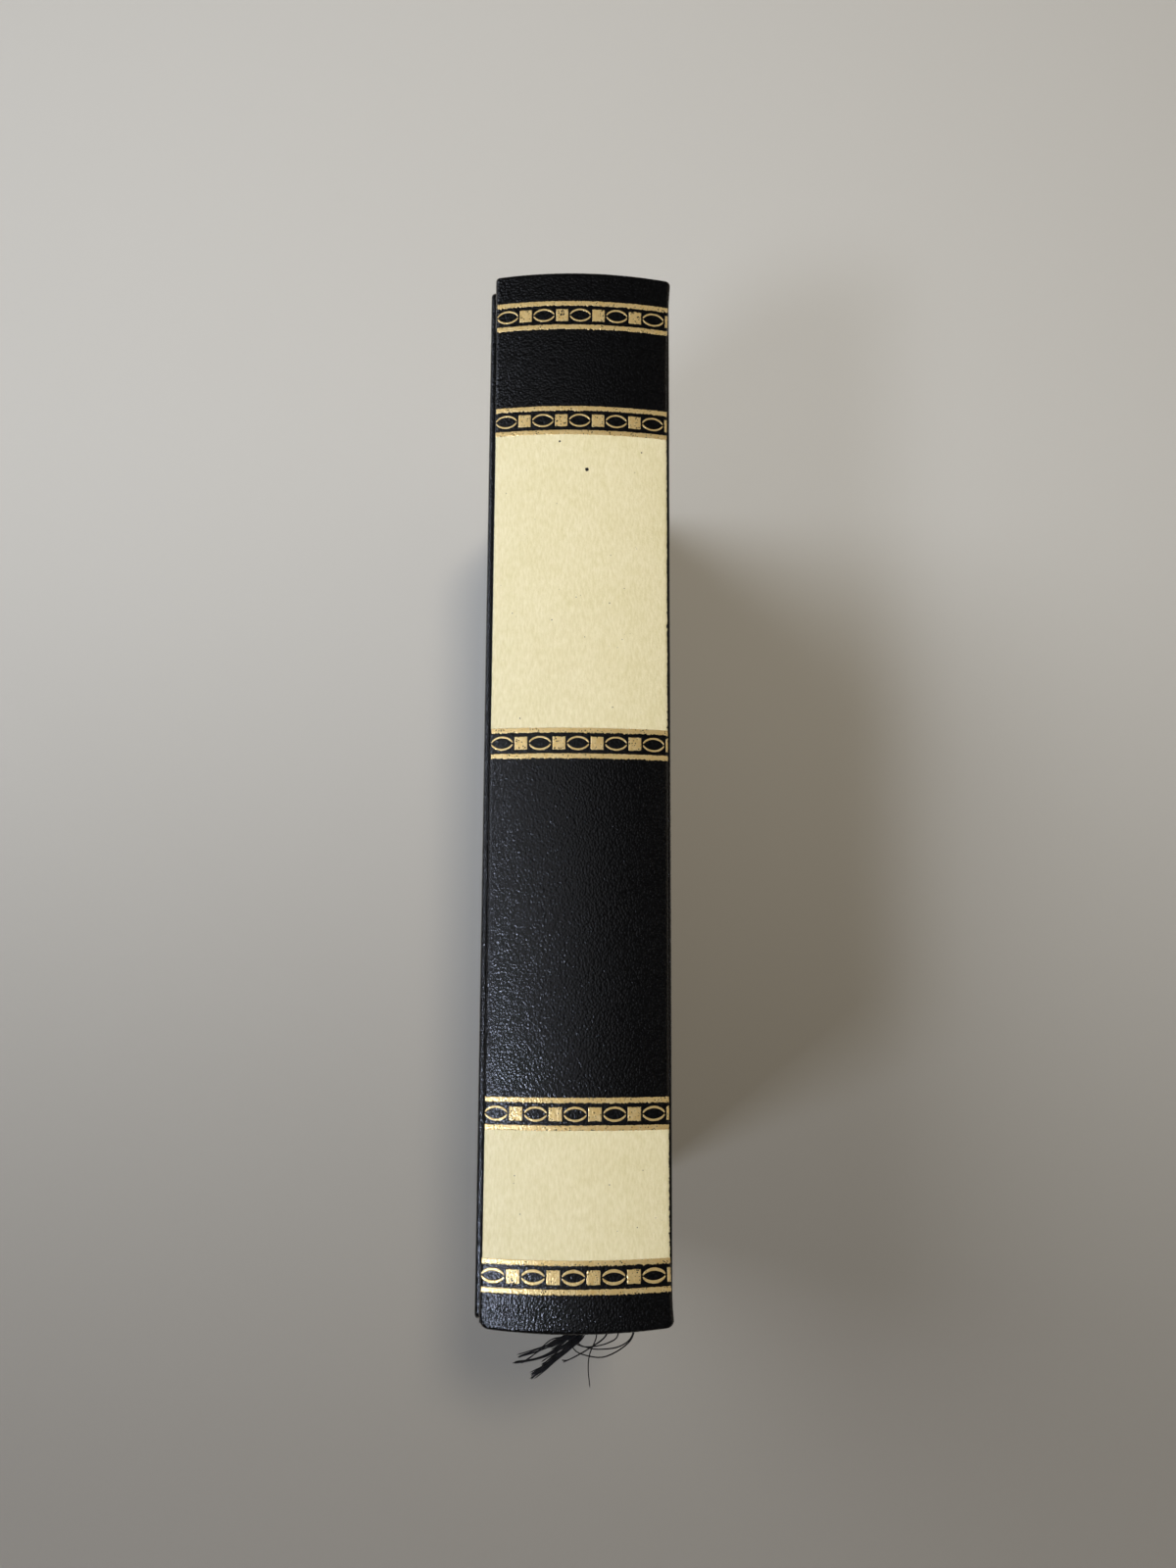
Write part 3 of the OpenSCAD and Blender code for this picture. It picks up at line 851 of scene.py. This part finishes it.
def joinPatches(name, patches, material, node, slot):
    # One piece of many patches. Each point says how freely misses show there, and none do at edges.
    points, faces = joined([patch for patch, _ in patches])
    wear = []
    for (some, _), amount in patches:
        flat = some[:, :2]
        inside = np.minimum(flat - flat.min(axis=0), flat.max(axis=0) - flat).min(axis=1)
        wear.append(amount * np.clip(inside / stamp["whole"], 0, 1))
    points[:, 0] += endFlare(points[:, 0], points[:, 1])
    points[:, 1] += endBow(points[:, 0], points[:, 1])
    obj = newPiece(name, points, faces, material, "book_block", [node], slot)
    layer = obj.data.attributes.new("foilWear", "FLOAT", "POINT")
    layer.data.foreach_set("value", np.concatenate(wear).astype(np.float32))


def makeBand(number):
    low, high = boxMm(f"gilt_band_{number}")
    rule, misses = stamp["rule"], stamp["misses"]
    leftX = stamp["inset"][number - 1] - stampX
    patches = []
    for bottom in (low[1], high[1] - rule):
        field = rectanglePatch(
            leftX, stampX, bottom, bottom + rule, *stamp["rulePoints"], stamp["ruleRags"],
        )
        patches.append((field, misses["rule"]))
    middle = (low[1] + high[1]) / 2
    thick = stamp["crescents"][number - 1] * stamp["ovalH"]
    half = stamp["stud"] / 2
    start = leftX
    while start < stampX:
        centre = start + stamp["ovalW"] / 2
        if centre + stamp["ovalW"] / 2 < stampX:
            for way in (1, -1):
                patches.append((crescentPatch(centre, middle, thick, way), misses["crescent"]))
        left = start + (stamp["ovalW"] + stamp["pitch"] - stamp["stud"]) / 2
        right = min(left + stamp["stud"], stampX)
        if right - left > stamp["leastStud"]:
            field = rectanglePatch(
                left, right, middle - half, middle + half, *stamp["studPoints"],
                (stamp["rag"],) * 4,
            )
            patches.append((field, misses["stud"]))
        start += stamp["pitch"]
    joinPatches(f"giltBand{number}", patches, gilt, f"gilt_band_{number}", "gilt_foil")


def makePanel(word):
    low, high = boxMm(word + "_panel")
    along = int((high[1] - low[1]) / stamp["panelPitch"])
    field = rectanglePatch(
        low[0] + stamp["panelInset"], high[0], low[1], high[1], stamp["panelAcross"], along,
        stamp["panelRags"],
    )
    joinPatches(word + "CreamPanel", [(field, 0)], cream, word + "_panel", "cream_foil")


for number in range(1, 6):
    makeBand(number)
for word in ("upper", "lower"):
    makePanel(word)
print("stamping made")


def smoothPath(points, count):
    # Catmull-Rom curve through the points: each stretch blends its four nearest points by cubics
    points = np.asarray(points, float)
    padded = np.concatenate([2 * points[:1] - points[1:2], points, 2 * points[-1:] - points[-2:-1]])
    last = len(points) - 1 - 1e-9  # just inside the last stretch
    at = np.linspace(0, last, count)
    i = at.astype(int)
    t = (at - i)[:, None]
    a, b, c, d = (padded[i + k] for k in range(4))
    square = 2 * a - 5 * b + 4 * c - d
    cube = 3 * b - a - 3 * c + d
    return 0.5 * (2 * b + (c - a) * t + square * t ** 2 + cube * t ** 3)


aside = (0.31, 0.27, 0.91)  # a way that no tube's path follows


def tubeAlong(path, radius, sides):
    # Circles of the given radius across the path, all started from the same way aside
    step = unit(np.gradient(path, axis=0))
    one = unit(np.cross(step, aside))
    two = np.cross(step, one)
    turn = np.linspace(0, 2 * math.pi, sides, endpoint=False)
    ring = np.cos(turn)[None, :, None] * one[:, None] + np.sin(turn)[None, :, None] * two[:, None]
    points = path[:, None] + ring * radius[:, None, None]
    return points.reshape(-1, 3), tubeFaces(len(path), sides)


# Rolled bands at head and tail, wound with thread
band = {
    "bead": 0.8,
    "pitch": 0.42,
    "ridge": 0.07,  # height of one turn of the thread
    "tapeT": 0.25,
    "perTurn": 8,  # points along each turn of the thread
    "sides": 14,
    "blunt": 24,  # power that keeps the bead full almost to its ends
    "least": 0.02,  # share of the radius left at the ends
}


def makeEndBand(word, way):
    turnEnd = math.asin(blockX / book["blockRadius"])
    arcRadius = book["blockRadius"] + band["tapeT"] - band["bead"]
    length = 2 * turnEnd * arcRadius
    turn = np.linspace(-turnEnd, turnEnd, int(length / band["pitch"] * band["perTurn"]))
    ridges = np.abs(np.sin(turn * arcRadius / band["pitch"] * math.pi))
    ends = np.sqrt(np.clip(1 - (np.abs(turn) / turnEnd) ** band["blunt"], 0, 1))
    radius = (band["bead"] - band["ridge"] * (1 - ridges)) * np.maximum(ends, band["least"])
    path = np.stack([
        arcRadius * np.sin(turn), np.full(len(turn), way * (pageHalf + band["bead"])),
        arcZ + arcRadius * np.cos(turn),
    ], axis=1)
    points, faces = tubeAlong(path, radius, band["sides"])
    newPiece(word + "Band", points, faces, bandCotton, "book_block", [word + "_band"], "band_cloth")


makeEndBand("head", 1)
makeEndBand("tail", -1)
print("bands made")


# Ribbon marker: glued to the back, over the head band, then between the pages to the tail
ribbon = {
    "width": 6.0,
    "thick": 0.22,
    "x": 2.0,
    "z": 137.78,  # middle of its width between the pages
    "over": 0.6,  # height over the pages' back, where it is glued on
    "clear": 0.15,  # distance from the head band
    # Its path. Neighbours stay alike in length, so that the curve never doubles back.
    "onBack": [-20, -8, -2.5, 0.2],  # y from the pages' head
    "overBand": [(-0.35, -0.5), (0, -1.8), (0, -4), (-0.7, -7)],  # y from the band, z from the tab
    "intoPages": [(-1, 0.6), (-5, 0), (-12, 0), (-27, 0), (-60, 0)],  # y from the head, z
    "toTail": [50, 22, 9, 2],  # y from the pages' tail
    "end": 113.4,
    "turn": (5.1, 7.6),  # stretch of the path in which it turns on edge, into the pages
    "steps": 12,  # per stretch of the path
    "across": 13,
    "flat": 0.97,  # at 1 its long edges would be sharp
}


def makeRibbon():
    backZ = arcZ + book["blockRadius"] + ribbon["over"]
    topY = pageHalf + 2 * band["bead"] + ribbon["clear"]
    between = ribbon["z"]
    path = [
        *((pageHalf + y, backZ) for y in ribbon["onBack"]),
        *((topY + y, backZ + z) for y, z in ribbon["overBand"]),
        *((pageHalf + y, between + z) for y, z in ribbon["intoPages"]), (0, between),
        *((y - pageHalf, between) for y in ribbon["toTail"]), (-ribbon["end"], between),
    ]
    count = ribbon["steps"] * (len(path) - 1)
    centre = smoothPath([(ribbon["x"], y, z) for y, z in path], count)
    at = np.linspace(0, len(path) - 1, count)
    turn = np.interp(at, ribbon["turn"], [0, math.pi / 2])
    step = unit(np.gradient(centre, axis=0))
    acrossWay = np.stack([np.cos(turn), 0 * turn, np.sin(turn)], axis=1)
    acrossWay = unit(acrossWay - step * np.sum(acrossWay * step, axis=1, keepdims=True))
    normal = np.cross(acrossWay, step)
    share = np.linspace(-1, 1, ribbon["across"])
    flat = centre[:, None] + acrossWay[:, None] * share[None, :, None] * ribbon["width"] / 2
    oval = np.sqrt(1 - share ** 2 * ribbon["flat"])
    lift = normal[:, None] * ribbon["thick"] / 2 * oval[None, :, None]
    rings = np.concatenate([flat + lift, (flat - lift)[:, ::-1]], axis=1)
    newPiece(
        "ribbonMarker", rings.reshape(-1, 3), tubeFaces(*rings.shape[:2]), satin, "book_block",
        ["ribbon_marker"], "ribbon",
    )


# Frayed end of the ribbon: warp threads that have lost their weft
threads = {
    "radius": 0.15,
    "thin": 0.7,  # share of the radius left towards the tip
    "tip": 0.01,
    "sides": 6,
    "points": 30,
    "stray": 0.6,
    "curl": 0.25,
    "turns": (4, 9),
    "phase": (0, 6),
    "reach": (-0.5, 0.7),  # how much longer or shorter each one is
    # Number of threads, how far they stray at start and end, and their path in x, y and z
    "lines": [
        (18, 0.9, 0.22, [
            (2, -110, 138), (1.5, -116, 138), (-1.2, -119.2, 137), (-4.8, -122.4, 136),
            (-8.9, -125.6, 135),
        ]),
        (4, 0.7, 0.5, [
            (2, -110, 139), (0, -115.5, 139), (-4.5, -117.8, 138), (-8, -119.4, 137.5),
            (-11.6, -121, 137),
        ]),
        (5, 0.8, 0.35, [
            (2, -110, 138), (0.5, -116, 138), (-4, -119.6, 137.5), (-8, -121.3, 137),
            (-12.6, -122.4, 136),
        ]),
        (2, 0.5, 0.3, [
            (1, -110, 140), (-1.2, -115.5, 140), (-4.5, -117, 139.5), (-7.5, -119.3, 139),
            (-10.7, -122, 138),
        ]),
        (14, 1.0, 0.7, [
            (1.5, -110, 138.5), (0.2, -115.2, 138.5), (-2.2, -117.2, 138), (-5.2, -118.9, 137.5),
        ]),
        (6, 0.8, 0.35, [
            (2, -110, 138), (0.5, -117, 137), (-3.2, -120.5, 136), (-6.9, -122.9, 136),
        ]),
        (1, 0, 0, [
            (4.5, -110, 139), (4.6, -116, 138.6), (3.2, -120, 138), (2.9, -123, 137.5),
            (3.3, -127.1, 137),
        ]),
        (1, 0, 0, [
            (12.4, -111, 139), (12.2, -116, 138.6), (10.2, -118.6, 138.2), (6.3, -120.6, 138),
            (2.8, -120.4, 138), (0, -119.2, 138), (-1, -116, 138.4), (0, -110, 138.6),
        ]),
        (1, 0, 0, [
            (12.2, -111, 139), (12, -116, 138.8), (9.6, -118.3, 138.5), (6, -119, 138.3),
            (2.6, -118.7, 138.2), (0.5, -117, 138.4), (0.5, -110, 138.8),
        ]),
        (1, 0, 0, [
            (9.2, -111, 139.2), (9, -116, 138.8), (7.2, -117.6, 138.5), (4.4, -118.4, 138.3),
            (1.5, -118.4, 138.3), (-0.5, -116.5, 138.6), (0.3, -110, 139),
        ]),
        (2, 0.5, 0.3, [
            (7, -110, 139), (6.4, -115.6, 138.8), (3, -118.6, 138), (-1, -121, 137),
            (-2.6, -121.6, 136.6),
        ]),
    ],
}


def makeThreads():
    # A thread strays from its line by a random shift at each end, and waves by a sine towards its
    # tip. A thread alone on its line keeps to it.
    share = np.linspace(0, 1, threads["points"])[:, None]
    radius = threads["radius"] * np.linspace(1, threads["thin"], threads["points"])
    radius[-1] = threads["tip"]
    parts = []
    for count, strayStart, strayEnd, line in threads["lines"]:
        loose = min(count - 1, 1)
        for _ in range(count):
            near, far = dice.normal(0, 1, 3), dice.normal(0, 1, 3)
            stray = near * strayStart * (1 - share) + far * strayEnd * share
            turns, phase = dice.uniform(*threads["turns"]), dice.uniform(*threads["phase"])
            curl = np.sin(share * turns + phase) * dice.normal(0, threads["curl"], 3) * loose
            path = smoothPath(line, threads["points"])
            path += stray * threads["stray"] + curl * share
            path[:, 1] += dice.uniform(*threads["reach"]) * share[:, 0] ** 2 * loose
            parts.append(tubeAlong(path, radius, threads["sides"]))
    newPiece("ribbonFray", *joined(parts), satin, "book_block", [], "ribbon")


makeRibbon()
makeThreads()
print("ribbon made")


# CAD pieces that keep their own shape and get their finish here
for node, material in {
    "front_flyleaf": endpaper, "back_flyleaf": endpaper, "front_board": greyboard,
    "back_board": greyboard, "spine_card": greyboard, "spine_lining": kraft, "spine_gauze": gauze,
}.items():
    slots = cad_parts[node].data.materials
    slots.clear()
    slots.append(material)
print("finishes given")


# Floor, window and room
# The floor's light and dark colours are painted shade: the room's light falling off towards the tail
floor = {"size": 3000.0, "light": "#d2d3d1", "dark": "#9c9a95", "lightY": 150.0, "darkY": -220.0}
lamps = [
    # name, place, aim, width and height, watts, degrees of spread, colour, lights by
    ("window", (-850, 450, 1080), (-40, 190, 20), (700, 700), 1.45, 60, "#f4f6fb", "shade"),
    ("windowGlow", (-1150, 420, 760), (0, 0, 100), (500, 900), 4.5, 180, "#e4ecff", "gloss"),
    ("leftCeiling", (-940, -60, 1300), (-940, -60, 0), (1200, 2000), 3.6, 180, "#eef1f8", "gloss"),
    ("skylight", (-640, -440, 1020), (0, -60, 100), (150, 150), 6.0, 180, "#d6e2ff", "gloss"),
    ("tailWindow", (-560, -440, 1060), (0, -60, 100), (200, 200), 3.1, 180, "#eef2fb", "shade"),
    ("ceiling", (110, 300, 1150), (0, 0, 0), (130, 130), 4.4, 180, "#ffefd6", "shade"),
    ("rightWall", (1000, 100, 420), (0, 0, 100), (1200, 700), 0.8, 180, "#f0dfc6", "both"),
    ("tailFill", (100, -1500, 230), (0, 0, 80), (1400, 400), 3.5, 180, "#f4efe8", "shade"),
]


room = {"colour": "#d8d2ca", "strength": 0.06}


def makeFloor():
    half = floor["size"] / 2
    points = [(-half, -half, 0), (half, -half, 0), (half, half, 0), (-half, half, 0)]
    mesh = bpy.data.meshes.new("tableTop")
    mesh.from_pydata((np.array(points) * mm).tolist(), [], [(0, 1, 2, 3)])
    obj = bpy.data.objects.new("tableTop", mesh)
    bpy.context.collection.objects.link(obj)
    material, tree, shader, coords = newMaterial("paleTable")
    # Painted shade: the floor's colour darkens from head to tail in place of the room's light
    # falling off
    # Its tone falls off from the head end to the tail end, as the room's light does in the photo
    along = addNode(tree, "SeparateXYZ", {"Vector": coords}).outputs["Y"]
    fall = addNode(tree, "MapRange", {
        "interpolation_type": "SMOOTHSTEP", "Value": along,
        "From Min": floor["lightY"] * mm, "From Max": floor["darkY"] * mm,
    })
    colour = addNode(tree, "MixRGB", {
        "Fac": fall, "Color1": floor["light"], "Color2": floor["dark"],
    })
    finishShader(tree, shader, {"Base Color": colour}, {"Roughness": 0.7})
    obj.data.materials.append(material)


def makeLamps():
    for name, place, aim, size, watts, spread, colour, by in lamps:
        data = bpy.data.lights.new(name, "AREA")
        data.shape = "RECTANGLE"
        data.size, data.size_y = size[0] * mm, size[1] * mm
        data.energy = watts
        data.spread = math.radians(spread)
        data.color = hexColour(colour)[:3]
        obj = bpy.data.objects.new(name, data)
        place, aim = np.array(place, float), np.array(aim, float)
        obj.location = place * mm
        way = aim - place
        flat = math.hypot(way[0], way[1])
        heading = math.atan2(way[1], way[0]) - math.pi / 2
        obj.rotation_euler = (math.atan2(flat, -way[2]), 0, heading)
        obj.visible_glossy = by != "shade"
        obj.visible_diffuse = by != "gloss"
        obj.visible_camera = False
        bpy.context.collection.objects.link(obj)
    world = bpy.data.worlds.new("room")
    bpy.context.scene.world = world
    world.use_nodes = True
    back = world.node_tree.nodes["Background"]
    back.inputs["Color"].default_value = hexColour(room["colour"])
    back.inputs["Strength"].default_value = room["strength"]


makeFloor()
makeLamps()
bpy.context.scene.view_settings.view_transform = "Standard"
print("floor and lamps made")
